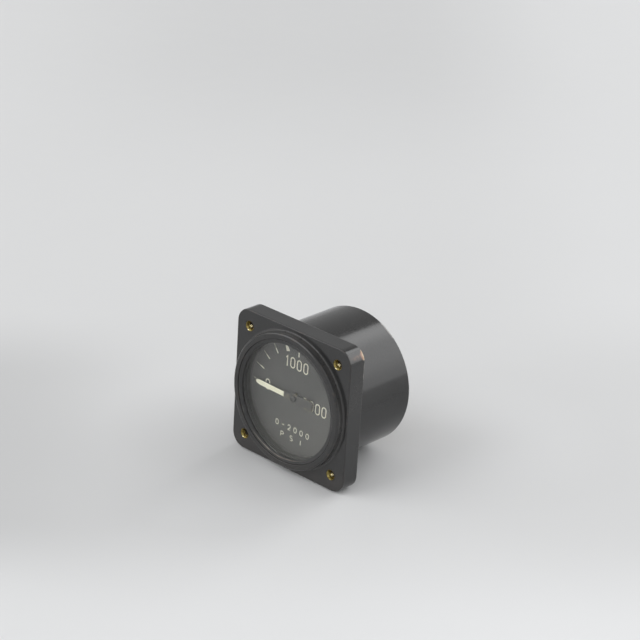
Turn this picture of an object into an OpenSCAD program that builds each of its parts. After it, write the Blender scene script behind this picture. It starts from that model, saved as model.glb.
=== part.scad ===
// Panel pressure gauge for a hydraulic system, 1-7/8 in dial in a square-flanged moulded case.
// Millimetres. X is to the right, Z is up, and Y is the case axis, pointing from the dial to the rear.
// The origin is on the case axis in the flange's front face, which is the face that meets the panel.

/* [Flange] */
// Side of the square flange
flange_w = 60.5; // [60:0.1:61]
// Thickness of the flange
flange_t = 8.0; // [7:0.1:9]
// Corner radius of the flange
flange_r = 6.0; // [5:0.5:6.5]
// Distance between neighbouring fixing holes
hole_pitch = 47.14; // [46.9:0.02:47.4]

/* [Case] */
// Outside diameter of the case body
case_d = 56.1; // [56:0.1:56.5]
// Distance from the flange's front face to the case's rear face
case_len = 39.1; // [38.6:0.1:42]
// Outside diameter of the raised rim round the window
rim_d = 56.5; // [56.5:0.05:56.8]
// How far the rim stands out of the flange
rim_h = 3.2; // [3.2:0.1:3.6]
// Thickness of the case's rear wall
rear_wall = 3.4; // [3:0.1:3.4]

/* [Window] */
// Diameter of the window opening inside the retaining ring
window_d = 47.66; // [47:0.02:48]
// Thickness of the cover glass
glass_t = 2.0; // [1.6:0.1:2]

/* [Dial] */
// Thickness of the dial plate
dial_t = 0.8; // [0.5:0.1:1]
// Reach of the pointer from the axis to its tip
pointer_len = 22.6; // [20:0.1:23]
// Angle by which the pointer rests above the horizontal, as the dial's nought does
pointer_rest = 1.7; // [0:0.1:3]

/* [Movement] */
// Tooth size, as pitch diameter per tooth
gear_module = 0.3; // [0.3:0.3:0.3]
// Number of teeth on the pinion
pinion_teeth = 12; // [12:1:12]
// Number of teeth a full turn of the sector would have
sector_teeth = 90; // [90:1:90]
// Share of the tooth width left after backlash
tooth_share = 0.88; // [0.8:0.01:0.9]

/* [Pressure tube] */
// Radius of the tube's centre line
tube_r = 18.4; // [18:0.1:18.6]
// Width of the flattened tube along the case axis
tube_w = 8.0; // [7:0.1:8.4]
// Thickness of the flattened tube
tube_h = 3.2; // [2.8:0.1:3.4]
// Wall thickness of the tube
tube_wall = 0.45; // [0.3:0.05:0.6]

/* [Hidden] */
$fn = 96;

e = 0.01;
hp = hole_pitch / 2;
case_r = case_d / 2;
rim_r = rim_d / 2;
window_r = window_d / 2;
seat_r = 25.65;             // bore that the dial, spacer, gasket, glass and ring drop into
cavity_r = 25.0;            // bore behind the dial
rib_r = 22.8;               // inner edge of the four ribs that carry the dial
glass_y = -2.15;            // front of the glass
gasket_y = glass_y + glass_t;
spacer_y = gasket_y + 0.8;
dial_y = 3.2;               // front of the dial
ledge_y = dial_y + dial_t;
rear_in = case_len - rear_wall;
pan_r = 1.45;               // tapped hole in each fixing insert
insert_r = 2.3;

// movement, from the front: front plate, hairspring, sector and pinion, link, back plate
fp_y = [6.4, 7.6];
bp_y = [12.6, 13.8];
sec_y = [9.3, 10.3];
link_y = [10.5, 11.1];
pin_pr = gear_module * pinion_teeth / 2;
sec_pr = gear_module * sector_teeth / 2;
sec_c = [0, -(pin_pr + sec_pr)];     // sector pivot, as [x, z]
tail_r = 5.01;
tail_a = -52.04;
tail_pin = [sec_c[0] + tail_r * cos(tail_a), sec_c[1] + tail_r * sin(tail_a)];
tip_a = -30;
tip_r = 16;
tip_c = [tip_r * cos(tip_a), tip_r * sin(tip_a)];
pillars = [[-6.3, 2.6], [6.3, 2.6], [-6.3, -17.2]];
block_screws = [[-5.2, -9.4], [5.2, -9.4]];

// pressure tube and socket
tube_y = 20;
tube_from = -28;
tube_to = 261;
rear_screw_r = 11.6;
rear_screw_a = [90, 210, 330];
neck_r = 7.5;
port_r = 5.556;
hex_af = 12.7;
hex_y = [40.3, 46.3];
port_end = 56.0;

// a flat shape drawn as [x, z] and given a thickness from y0 to y1
module slab(y0, y1) { translate([0, y1, 0]) rotate([90, 0, 0]) linear_extrude(y1 - y0) children(); }
// a profile drawn as [radius, y] and turned about the case axis
module turned(points) { rotate([-90, 0, 0]) rotate_extrude() polygon(points); }
// a rod along Y
module rod(x, z, r, y0, y1) { translate([x, y0, z]) rotate([-90, 0, 0]) cylinder(r = r, h = y1 - y0); }
// a cone along Y
module cone(x, z, ra, rb, y0, y1) { translate([x, y0, z]) rotate([-90, 0, 0]) cylinder(r1 = ra, r2 = rb, h = y1 - y0); }
// a square slab with round corners
module round_square(w, r, y0, y1) {
    d = y1 - y0;
    translate([-w / 2 + r, y0, -w / 2]) cube([w - 2 * r, d, w]);
    translate([-w / 2, y0, -w / 2 + r]) cube([w, d, w - 2 * r]);
    for (x = [-1, 1], z = [-1, 1]) rod(x * (w / 2 - r), z * (w / 2 - r), r, y0, y1);
}
// a slotted screw along Y whose head faces the front (face = -1) or the rear (face = 1)
module slotted_screw(x, z, r, len, head_r, head_h, y, face) {
    h0 = face < 0 ? y - head_h : y;
    s0 = face < 0 ? y : y - len;
    difference() {
        union() {
            rod(x, z, head_r, h0, h0 + head_h);
            rod(x, z, r, s0, s0 + len);
        }
        translate([x - head_r - 1, face < 0 ? h0 - e : h0 + head_h * 0.5, z - head_r * 0.13])
            cube([2 * head_r + 2, head_h * 0.5 + e, head_r * 0.26]);
    }
}

module insert_body(x, z) {
    rod(x, z, insert_r, 0, 2.6);
    rod(x, z, insert_r - 0.35, 2.6, flange_t - 2.6);
    rod(x, z, insert_r, flange_t - 2.6, flange_t);
}

// ---- case and front ----
module case() {
    color([0.10, 0.10, 0.11])
    difference() {
        union() {
            round_square(flange_w, flange_r, 0, flange_t);
            turned([[0, -rim_h], [rim_r - 0.7, -rim_h], [rim_r - 0.2, -rim_h + 0.2], [rim_r, -rim_h + 0.7],
                [rim_r, 0], [rim_r, 1], [case_r, 1], [case_r, case_len - 0.6],
                [case_r - 0.18, case_len - 0.18], [case_r - 0.6, case_len], [0, case_len]]);
        }
        difference() {
            turned([[0, -rim_h - 1], [seat_r, -rim_h - 1], [seat_r, -2.8], [26.3, -2.8], [26.3, glass_y],
                [seat_r, glass_y], [seat_r, ledge_y], [cavity_r, ledge_y], [cavity_r, rear_in], [0, rear_in]]);
            for (a = [45, 135, 225, 315]) rotate([0, a, 0])
                translate([rib_r, ledge_y, -2.5]) cube([5, rear_in - ledge_y + 1, 5]);
        }
        for (x = [-hp, hp], z = [-hp, hp]) insert_body(x, z);
        rod(0, 0, neck_r + 0.1, rear_in - 1, case_len + 1);
        for (a = rear_screw_a) rod(rear_screw_r * cos(a), rear_screw_r * sin(a), 1.65, rear_in - 1, case_len + 1);
    }
    // locating key for the dial, at the bottom of its seat
    color([0.10, 0.10, 0.11]) translate([-0.7, dial_y + 0.1, -seat_r - 0.3]) cube([1.4, ledge_y - dial_y + 0.2, 1.1]);
}

module mounting_inserts() {
    color([0.78, 0.62, 0.28])
    for (x = [-hp, hp], z = [-hp, hp]) difference() {
        insert_body(x, z);
        rod(x, z, pan_r, -1, flange_t + 1);
        cone(x, z, pan_r + 0.6, pan_r - 0.05, -0.05, 0.35);
    }
}

module retaining_ring() {
    color([0.12, 0.12, 0.12])
    turned([[window_r, glass_y - 0.02], [window_r, glass_y - 0.3], [25.5, -2.98], [25.5, -2.72], [26.15, -2.72],
        [26.15, glass_y - 0.02]]);
}

module cover_glass() { color([0.85, 0.92, 0.95, 0.3]) rod(0, 0, 25.5, glass_y, gasket_y - 0.02); }

module glass_gasket() {
    color([0.05, 0.05, 0.05])
    turned([[window_r + 0.25, gasket_y], [25.5, gasket_y], [25.5, spacer_y - 0.02], [window_r + 0.25, spacer_y - 0.02]]);
}

module dial_spacer() {
    color([0.08, 0.08, 0.08])
    turned([[window_r + 0.1, spacer_y], [25.5, spacer_y], [25.5, dial_y - 0.02], [window_r + 0.1, dial_y - 0.02]]);
}

module dial() {
    color([0.13, 0.13, 0.13])
    difference() {
        rod(0, 0, 25.5, dial_y, ledge_y - 0.01);
        rod(0, 0, 1.9, dial_y - 1, ledge_y + 1);
        translate([-0.85, dial_y - 1, -27]) cube([1.7, 3, 2.6]);
    }
}

// ---- pointer and pinion ----
module pointer() {
    color([0.90, 0.87, 0.72])
    rotate([0, pointer_rest, 0]) difference() {
        union() {
            // luminous arm to the left, black counterweight to the right
            slab(1.9, 2.2) polygon([[-pointer_len, 0.12], [-pointer_len + 2.2, 0.62], [-pointer_len + 4, 1.2],
                [-5.1, 1.25], [-2.2, 1.6], [0, 2.0], [2.2, 1.9], [8.8, 2.4], [10, 1.7], [10, -1.7], [8.8, -2.4],
                [2.2, -1.9], [0, -2.0], [-2.2, -1.6], [-5.1, -1.25], [-pointer_len + 4, -1.2],
                [-pointer_len + 2.2, -0.62], [-pointer_len, -0.12]]);
            rod(0, 0, 2.5, 1.9, 2.2);
        }
        rod(0, 0, 1.5, 1, 3);
    }
}

module pointer_hub() {
    color([0.12, 0.12, 0.12])
    turned([[0.6, 0.9], [1.2, 0.9], [1.5, 1.15], [1.5, 2.21], [2.3, 2.21], [2.3, 2.55], [1.5, 2.9], [0.6, 2.9]]);
}

function inv(a) = tan(a) * 180 / PI - a;
// half angle of a tooth at radius q, for a wheel of pitch radius pr and n teeth
function half_tooth(pr, n, q) = let(rb = pr * cos(20), a = acos(min(1, rb / q)))
    90 / n * tooth_share + inv(20) - (q > rb ? inv(a) : 0);
// outline of one tooth centred on angle c, from root radius rf to tip radius ra
function tooth(pr, n, rf, ra, c) = let(qs = [for (i = [0:5]) rf + (ra - rf) * i / 5]) concat(
    [for (q = qs) let(h = half_tooth(pr, n, q)) [q * cos(c - h), q * sin(c - h)]],
    [for (i = [5:-1:0]) let(q = qs[i], h = half_tooth(pr, n, q)) [q * cos(c + h), q * sin(c + h)]]);

module pinion_shaft() {
    color([0.72, 0.70, 0.66]) {
        turned([[0, 1.1], [0.45, 1.1], [0.6, 1.5], [0.6, 7.72], [0.95, 7.72], [0.95, 8.9], [1.44, 8.9],
            [1.44, 10.9], [0.95, 10.9], [0.95, 12.5], [0.4, 12.5], [0.4, 13.9], [0, 13.9]]);
        slab(8.9, 10.9) polygon([for (k = [0:pinion_teeth - 1])
            for (p = tooth(pin_pr, pinion_teeth, 1.42, 2.07, -90 + 360 / pinion_teeth * k)) p]);
    }
}

module hairspring_collet() {
    color([0.80, 0.66, 0.30]) difference() {
        rod(0, 0, 1.45, 7.85, 8.7);
        rod(0, 0, 0.95, 7, 9);
    }
}

// flat spiral strip from radius a to radius b
module spiral(a, b, turns, w, start) {
    n = turns * 24;
    polygon(concat([for (i = [0:n]) let(q = a + (b - a) * i / n, t = start + 15 * i) [q * cos(t), q * sin(t)]],
        [for (i = [n:-1:0]) let(q = a + (b - a) * i / n + w, t = start + 15 * i) [q * cos(t), q * sin(t)]]));
}

module hairspring() { color([0.35, 0.42, 0.60]) slab(8.05, 8.5) spiral(1.56, 4.55, 5, 0.14, 135); }

module hairspring_stud() {
    color([0.80, 0.66, 0.30]) rod(5.35 * cos(135), 5.35 * sin(135), 0.6, fp_y[1], 8.8);
}

// ---- movement plates ----
module plate(y0, y1) {
    difference() {
        union() {
            translate([-8.2, y0, -19.4]) cube([11, y1 - y0, 24.4]);
            translate([-8.2, y0, -13]) cube([16.4, y1 - y0, 16]);
            rod(-6.3, 2.6, 1.9, y0, y1);
            rod(6.3, 2.6, 1.9, y0, y1);
        }
        translate([-9.2, y0 - 1, 3]) cube([2.9, 4, 3]);
    }
}

module movement_front_plate() {
    color([0.80, 0.66, 0.34])
    difference() {
        plate(fp_y[0], fp_y[1]);
        rod(0, 0, 0.66, 5, 9);
        rod(sec_c[0], sec_c[1], 0.56, 5, 9);
        for (p = pillars) rod(p[0], p[1], 0.7, 5, 9);
    }
}

module movement_back_plate() {
    color([0.80, 0.66, 0.34])
    difference() {
        plate(bp_y[0], bp_y[1]);
        rod(0, 0, 0.46, 12, 15);
        rod(sec_c[0], sec_c[1], 0.56, 12, 15);
        for (p = pillars) rod(p[0], p[1], 0.8, 12, 15);
        for (p = block_screws) rod(p[0], p[1], 1.1, 12, 15);
    }
}

module plate_pillars() {
    color([0.80, 0.66, 0.34])
    for (p = pillars) difference() {
        union() {
            rod(p[0], p[1], 1.3, fp_y[1], bp_y[0]);
            rod(p[0], p[1], 0.8, bp_y[0], bp_y[1] - 0.01);
        }
        rod(p[0], p[1], 0.7, fp_y[1] - 1, fp_y[1] + 2.6);
    }
}

module plate_screws() {
    color([0.70, 0.70, 0.72])
    for (p = pillars) slotted_screw(p[0], p[1], 0.7, 3.6, 1.4, 0.9, fp_y[0], -1);
}

module movement_screws() {
    color([0.70, 0.70, 0.72])
    for (p = block_screws) slotted_screw(p[0], p[1], 1.1, 5.2, 1.9, 1.0, bp_y[0], -1);
}

// ---- sector and link ----
module sector_gear() {
    color([0.83, 0.68, 0.30])
    translate([sec_c[0], 0, sec_c[1]]) difference() {
        union() {
            slab(sec_y[0], sec_y[1]) polygon(concat(
                [for (k = [-10:1]) for (p = tooth(sec_pr, sector_teeth, 13.08, 13.71, 92 + 4 * k)) p],
                [for (t = [97:-3:49]) [11.6 * cos(t), 11.6 * sin(t)]]));
            slab(sec_y[0], sec_y[1]) polygon([[1.9, 0.8], [12 * cos(53), 12 * sin(53)], [12 * cos(59), 12 * sin(59)],
                [0.4, 2.2]]);
            slab(sec_y[0], sec_y[1]) polygon([[0.6, 2.1], [12 * cos(87), 12 * sin(87)], [12 * cos(94), 12 * sin(94)],
                [-1.6, 1.4]]);
            rod(0, 0, 2.3, sec_y[0], sec_y[1]);
            slab(sec_y[0], sec_y[1]) polygon([[2.3 * cos(tail_a + 80), 2.3 * sin(tail_a + 80)],
                [2.3 * cos(tail_a - 80), 2.3 * sin(tail_a - 80)],
                [tail_r * cos(tail_a) + 1.2 * cos(tail_a - 90), tail_r * sin(tail_a) + 1.2 * sin(tail_a - 90)],
                [tail_r * cos(tail_a) + 1.2 * cos(tail_a + 90), tail_r * sin(tail_a) + 1.2 * sin(tail_a + 90)]]);
            rod(tail_r * cos(tail_a), tail_r * sin(tail_a), 1.2, sec_y[0], sec_y[1]);
        }
        rod(0, 0, 0.9, 8, 12);
        rod(tail_r * cos(tail_a), tail_r * sin(tail_a), 0.5, 8, 12);
    }
}

module sector_arbor() {
    color([0.72, 0.70, 0.66])
    translate([sec_c[0], 0, sec_c[1]])
        turned([[0, 6.3], [0.5, 6.3], [0.5, 7.72], [0.9, 7.72], [0.9, 12.48], [0.5, 12.48], [0.5, 13.9], [0, 13.9]]);
}

module sector_pin() {
    color([0.72, 0.70, 0.66])
    translate([tail_pin[0], 0, tail_pin[1]])
        turned([[0, 9.1], [0.8, 9.1], [0.8, 9.29], [0.5, 9.29], [0.5, 11.25], [0.85, 11.25], [0.85, 11.6], [0, 11.6]]);
}

module link() {
    d = [tip_c[0] - tail_pin[0], tip_c[1] - tail_pin[1]];
    len = norm(d);
    a = atan2(d[1], d[0]);
    color([0.83, 0.68, 0.30])
    translate([tail_pin[0], 0, tail_pin[1]]) rotate([0, -a, 0]) difference() {
        union() {
            rod(0, 0, 1.35, link_y[0], link_y[1]);
            rod(len, 0, 1.35, link_y[0], link_y[1]);
            translate([0, link_y[0], -0.75]) cube([len, link_y[1] - link_y[0], 1.5]);
        }
        rod(0, 0, 0.62, 10, 12);
        rod(len, 0, 0.56, 10, 12);
    }
}

module tip_pin() {
    color([0.72, 0.70, 0.66])
    translate([tip_c[0], 0, tip_c[1]])
        turned([[0, 9.9], [0.9, 9.9], [0.9, 10.35], [0.5, 10.35], [0.5, 13.5], [0, 13.5]]);
}

// ---- pressure side ----
module tube_tip() {
    color([0.80, 0.66, 0.34])
    difference() {
        union() {
            // plug that closes the tube: its face is just clear of the tube's end
            rotate([0, -tube_from + 0.1, 0]) {
                translate([tube_r - 2.4, tube_y - 4.6, -3.4]) cube([4.8, 9.2, 3.37]);
                translate([tube_r - 2.4, 11.6, -3.4]) cube([3.0, 4.2, 3.37]);
            }
            // arm that reaches forward to the link
            rotate([0, -tip_a, 0]) translate([tip_r - 1.5, 11.6, -2.6]) cube([3.2, 2.2, 4.0]);
        }
        rod(tip_c[0], tip_c[1], 0.5, 10, 13.5);
    }
}

module tube_section(h, w, r) {
    square([h, w - 2 * r], center = true);
    square([h - 2 * r, w], center = true);
    for (x = [-1, 1], y = [-1, 1]) translate([x * (h / 2 - r), y * (w / 2 - r)]) circle(r);
}

module bourdon_tube() {
    color([0.82, 0.60, 0.28])
    translate([0, tube_y, 0]) rotate([90, 0, 0]) rotate([0, 0, tube_from]) rotate_extrude(angle = tube_to - tube_from)
        translate([tube_r, 0]) difference() {
            tube_section(tube_h, tube_w, 1.3);
            tube_section(tube_h - 2 * tube_wall, tube_w - 2 * tube_wall, 1.3 - tube_wall);
        }
}

module socket() {
    color([0.78, 0.64, 0.32])
    difference() {
        union() {
            // block that carries the movement and the root of the tube
            translate([-7, bp_y[1], -12.8]) cube([14, 18, 17]);
            translate([-7, bp_y[1], -21.6]) cube([11, 12, 9]);
            // disc against the rear wall, neck, hexagon and threaded end
            rod(0, 0, 15, 29.5, rear_in - 0.5);
            rod(0, 0, neck_r, 29.5, hex_y[0]);
            translate([0, hex_y[0], 0]) rotate([-90, 0, 0]) cylinder(r = hex_af / 2 / cos(30), h = hex_y[1] - hex_y[0], $fn = 6);
            turned([[0, hex_y[1] - 1], [4.8, hex_y[1] - 1], [4.8, hex_y[1] + 1.2], [port_r, hex_y[1] + 1.7],
                [port_r, 53.2], [4.9, 53.8], [4.6, 53.8], [2.4, port_end], [0, port_end]]);
        }
        // slot for the tube's root
        translate([0, tube_y, 0]) rotate([90, 0, 0]) rotate([0, 0, 244]) rotate_extrude(angle = 17)
            translate([tube_r, 0]) tube_section(tube_h, tube_w, 1.3);
        // pressure passage
        rod(0, 0, 1.6, 18.4, port_end + 1);
        translate([0, tube_y, -19]) cylinder(r = 1.2, h = 19);
        translate([-3.2, tube_y, -18.1]) rotate([0, 90, 0]) cylinder(r = 0.9, h = 3.2);
        // room for the ends of the pivots and pillars
        rod(0, 0, 1.2, bp_y[1] - 1, bp_y[1] + 1);
        rod(sec_c[0], sec_c[1], 1.2, bp_y[1] - 1, bp_y[1] + 1);
        for (p = block_screws) rod(p[0], p[1], 1.1, bp_y[1] - 1, 17.9);
        for (a = rear_screw_a) rod(rear_screw_r * cos(a), rear_screw_r * sin(a), 1.4, 31.4, 40);
    }
}

module socket_gasket() {
    color([0.06, 0.06, 0.06])
    difference() {
        rod(0, 0, 15, rear_in - 0.5, rear_in);
        rod(0, 0, neck_r + 0.05, rear_in - 1, rear_in + 1);
        for (a = rear_screw_a) rod(rear_screw_r * cos(a), rear_screw_r * sin(a), 1.5, rear_in - 1, rear_in + 1);
    }
}

module socket_screws() {
    color([0.70, 0.70, 0.72])
    for (a = rear_screw_a) slotted_screw(rear_screw_r * cos(a), rear_screw_r * sin(a), 1.4, case_len - 31.6, 2.7, 1.7, case_len, 1);
}

module restrictor() {
    color([0.83, 0.70, 0.40])
    difference() {
        rod(0, 0, 1.6, 49, 53);
        rod(0, 0, 0.3, 48, 54);
    }
}

case();
mounting_inserts();
retaining_ring();
cover_glass();
glass_gasket();
dial_spacer();
dial();
pointer();
pointer_hub();
pinion_shaft();
hairspring_collet();
hairspring();
hairspring_stud();
movement_front_plate();
movement_back_plate();
plate_pillars();
plate_screws();
sector_gear();
sector_arbor();
sector_pin();
link();
tip_pin();
tube_tip();
bourdon_tube();
socket();
socket_gasket();
socket_screws();
restrictor();
movement_screws();
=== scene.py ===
"""Looks of the panel pressure gauge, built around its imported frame.

Lengths in the tables below are millimetres, in the part's own frame: X right, Z up, Y from the dial to the rear,
and the origin on the case axis in the flange's front face.
"""
import math

import bmesh
import bpy
from mathutils import Matrix, Vector


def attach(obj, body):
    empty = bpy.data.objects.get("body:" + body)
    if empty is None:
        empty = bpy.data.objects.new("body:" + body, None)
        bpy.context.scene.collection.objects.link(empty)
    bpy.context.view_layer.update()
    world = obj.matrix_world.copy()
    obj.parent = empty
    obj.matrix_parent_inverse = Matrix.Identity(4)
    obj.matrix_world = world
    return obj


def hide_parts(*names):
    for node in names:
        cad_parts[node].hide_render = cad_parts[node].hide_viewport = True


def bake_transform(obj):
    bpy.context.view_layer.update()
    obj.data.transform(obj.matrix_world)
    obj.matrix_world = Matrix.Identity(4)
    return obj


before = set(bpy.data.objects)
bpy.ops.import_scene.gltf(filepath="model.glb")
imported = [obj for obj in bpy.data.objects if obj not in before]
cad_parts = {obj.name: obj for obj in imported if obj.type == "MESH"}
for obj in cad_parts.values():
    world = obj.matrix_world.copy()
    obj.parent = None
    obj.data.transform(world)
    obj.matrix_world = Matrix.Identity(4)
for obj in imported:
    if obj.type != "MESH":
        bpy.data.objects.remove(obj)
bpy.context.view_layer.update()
MM = 0.001
D = math.radians


# ------------------------------------------------------------------ camera
# lens, place and axes of the photograph's viewpoint, in the part's frame
cam_data = bpy.data.cameras.new("camera")
cam = bpy.data.objects.new("camera", cam_data)
bpy.context.scene.collection.objects.link(cam)
cam_data.sensor_fit = "HORIZONTAL"
cam_data.sensor_width = 36.0
cam_data.lens = 125.09
cam_data.clip_start, cam_data.clip_end = 0.05, 20
right = Vector((0.72754247, 0.68372359, 0.05660396))
down = Vector((0.3133463, -0.25776122, -0.91398755))
fwd = Vector((-0.61032455, 0.6827014, -0.4017745))
cam.matrix_world = Matrix(
    (
        (right.x, -down.x, -fwd.x, 0.528945),
        (right.y, -down.y, -fwd.y, -0.576960),
        (right.z, -down.z, -fwd.z, 0.378250),
        (0, 0, 0, 1),
    )
)
bpy.context.scene.camera = cam


# ------------------------------------------------------------------ mesh tools
def make_object(name, verts, faces, smooth_deg=32.0):
    """A closed mesh from points in millimetres, smooth except at edges sharper than smooth_deg."""
    me = bpy.data.meshes.new(name)
    me.from_pydata([(x * MM, y * MM, z * MM) for x, y, z in verts], [], faces)
    bm = bmesh.new()
    bm.from_mesh(me)
    bmesh.ops.recalc_face_normals(bm, faces=bm.faces)
    bm.to_mesh(me)
    bm.free()
    ob = bpy.data.objects.new(name, me)
    bpy.context.scene.collection.objects.link(ob)
    shade(ob, smooth_deg)
    return ob


def shade(ob, smooth_deg):
    me = ob.data
    me.polygons.foreach_set("use_smooth", [True] * len(me.polygons))
    me.set_sharp_from_angle(angle=D(smooth_deg))
    me.update()


def ring_faces(count, n, closed, start=0):
    faces = []
    for i in range(count if closed else count - 1):
        a, b = start + i * n, start + (i + 1) % count * n
        for j in range(n):
            k = (j + 1) % n
            faces.append((a + j, a + k, b + k, b + j))
    return faces


def rings_object(name, rings, closed=True, caps=False, smooth_deg=32.0):
    """Rings of equally many points, joined one to the next. closed joins the last to the first, caps ends them with a face."""
    n = len(rings[0])
    verts = [p for r in rings for p in r]
    faces = ring_faces(len(rings), n, closed)
    if caps:
        faces.append(tuple(range(n)))
        last = (len(rings) - 1) * n
        faces.append(tuple(last + j for j in range(n)))
    return make_object(name, verts, faces, smooth_deg)


def even_angles(n):
    return [2 * math.pi * i / n for i in range(n)]


def circle(r, y, angles, cx=0.0, cz=0.0):
    return [(cx + r * math.cos(a), y, cz + r * math.sin(a)) for a in angles]


def arc2(cx, cy, r, a0, a1, n):
    """Points (radius, y) on an arc, angles in degrees."""
    return [
        (cx + r * math.cos(D(a0 + (a1 - a0) * i / n)), cy + r * math.sin(D(a0 + (a1 - a0) * i / n)))
        for i in range(n + 1)
    ]


def soften(points, n=3):
    """A closed outline with its corners rounded: each point is (u, v) or (u, v, radius)."""
    out = []
    m = len(points)
    for i in range(m):
        p = points[i]
        r = p[2] if len(p) > 2 else 0.0
        if r <= 0:
            out.append((p[0], p[1]))
            continue
        a, b = points[i - 1], points[(i + 1) % m]
        c = Vector((p[0], p[1]))
        u = (Vector((a[0], a[1])) - c).normalized()
        v = (Vector((b[0], b[1])) - c).normalized()
        half = math.acos(max(-1, min(1, u.dot(v)))) / 2
        t = r / math.tan(half)
        centre = c + (u + v).normalized() * (r / math.sin(half))
        s, e = c + u * t - centre, c + v * t - centre
        turn = s.angle_signed(e)
        for k in range(n + 1):
            q = s.copy()
            q.rotate(Matrix.Rotation(-turn * k / n, 2))
            out.append((centre.x + q.x, centre.y + q.y))
    return out


def turned(name, profile, n=192, body="case", smooth_deg=32.0, cx=0.0, cz=0.0):
    """A closed outline of (radius, y) turned about an axis along Y."""
    angles = even_angles(n)
    return rings_object(name, [circle(r, y, angles, cx, cz) for r, y in profile], True, False, smooth_deg)


def join_meshes(name, objects, smooth_deg=32.0):
    """One object from several, with the first one's name changed."""
    bm = bmesh.new()
    for o in objects:
        bm.from_mesh(o.data)
    me = bpy.data.meshes.new(name)
    bm.to_mesh(me)
    bm.free()
    for o in objects:
        bpy.data.objects.remove(o)
    ob = bpy.data.objects.new(name, me)
    bpy.context.scene.collection.objects.link(ob)
    shade(ob, smooth_deg)
    return ob


def boolean(ob, others, operation):
    """Cuts or joins, with the exact solver, and applies it."""
    for other in others:
        m = ob.modifiers.new("bool", "BOOLEAN")
        m.operation, m.solver, m.object = operation, "EXACT", other
        dg = bpy.context.evaluated_depsgraph_get()
        me = bpy.data.meshes.new_from_object(ob.evaluated_get(dg))
        ob.modifiers.clear()
        ob.data = me
    for other in others:
        bpy.data.objects.remove(other)
    return ob


def rod(name, x, z, r, y0, y1, n=48):
    return rings_object(name, [circle(r, y, even_angles(n), x, z) for y in (y0, y1)], False, True)


def box_object(name, lo, hi):
    (a, b, c), (d, e, f) = lo, hi
    v = [(a, b, c), (d, b, c), (d, e, c), (a, e, c), (a, b, f), (d, b, f), (d, e, f), (a, e, f)]
    return make_object(name, v, [(0, 1, 2, 3), (4, 5, 6, 7), (0, 1, 5, 4), (1, 2, 6, 5), (2, 3, 7, 6), (3, 0, 4, 7)])


def weighted(ob):
    """Flat faces keep their own normals, and only the small roundings between them turn."""
    m = ob.modifiers.new("weighted", "WEIGHTED_NORMAL")
    m.keep_sharp, m.weight = True, 80
    return ob


# ------------------------------------------------------------------ material tools
class Nodes:
    """A material's nodes, made and joined in one call each."""

    def __init__(self, name):
        self.m = bpy.data.materials.new(name)
        self.m.use_nodes = True
        self.t = self.m.node_tree
        self.t.nodes.clear()
        self.out = self.t.nodes.new("ShaderNodeOutputMaterial")
        self.tc = self.add("TexCoord").outputs["Object"]

    def add(self, kind, **inputs):
        node = self.t.nodes.new("ShaderNode" + kind)
        for key, value in inputs.items():
            if hasattr(node, key) and key not in node.inputs:
                setattr(node, key, value)
                continue
            self.put(node.inputs[key.replace("_", " ")] if key.replace("_", " ") in node.inputs else node.inputs[int(key[1:])], value)
        return node

    def put(self, socket, value):
        if isinstance(value, bpy.types.NodeSocket):
            self.t.links.new(value, socket)
        else:
            socket.default_value = value

    def math(self, operation, a, b=0.0, clamp=False):
        n = self.t.nodes.new("ShaderNodeMath")
        n.operation, n.use_clamp = operation, clamp
        self.put(n.inputs[0], a)
        self.put(n.inputs[1], b)
        return n.outputs[0]

    def noise(self, scale, detail=4.0, rough=0.55, vector=None, dist=0.0):
        n = self.add("TexNoise", Scale=scale, Detail=detail, Roughness=rough, Distortion=dist)
        self.put(n.inputs["Vector"], vector if vector is not None else self.tc)
        return n.outputs["Fac"]

    def voronoi(self, scale, feature="F1", vector=None):
        n = self.t.nodes.new("ShaderNodeTexVoronoi")
        n.feature = feature
        n.inputs["Scale"].default_value = scale
        self.put(n.inputs["Vector"], vector if vector is not None else self.tc)
        return n.outputs["Distance"]

    def stretch(self, scale, rot=(0, 0, 0)):
        n = self.t.nodes.new("ShaderNodeMapping")
        self.put(n.inputs["Vector"], self.tc)
        n.inputs["Scale"].default_value = scale
        n.inputs["Rotation"].default_value = rot
        return n.outputs[0]

    def span(self, value, a, b, c, d, smooth=False):
        n = self.t.nodes.new("ShaderNodeMapRange")
        n.clamp = True
        if smooth:
            n.interpolation_type = "SMOOTHSTEP"
        for i, v in enumerate((value, a, b, c, d)):
            self.put(n.inputs[i], v)
        return n.outputs[0]

    def mix(self, fac, a, b, blend="MIX"):
        n = self.t.nodes.new("ShaderNodeMix")
        n.data_type, n.blend_type = "RGBA", blend
        self.put(n.inputs[0], fac)
        self.put(n.inputs[6], a)
        self.put(n.inputs[7], b)
        return n.outputs[2]

    def axis(self, i):
        n = self.t.nodes.new("ShaderNodeSeparateXYZ")
        self.put(n.inputs[0], self.tc)
        return n.outputs[i]

    def attribute(self, name):
        n = self.t.nodes.new("ShaderNodeAttribute")
        n.attribute_name = name
        return n.outputs["Fac"]

    def bump(self, height, distance, strength=1.0, normal=None):
        n = self.t.nodes.new("ShaderNodeBump")
        n.inputs["Strength"].default_value = strength
        n.inputs["Distance"].default_value = distance
        self.put(n.inputs["Height"], height)
        if normal is not None:
            self.put(n.inputs["Normal"], normal)
        return n.outputs[0]

    def principled(self, **inputs):
        n = self.t.nodes.new("ShaderNodeBsdfPrincipled")
        for key, value in inputs.items():
            self.put(n.inputs[key.replace("_", " ")], value)
        return n.outputs[0]

    def finish(self, shader):
        self.t.links.new(shader, self.out.inputs[0])
        return self.m


def rgb(r, g, b):
    return (r, g, b, 1.0)


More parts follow.
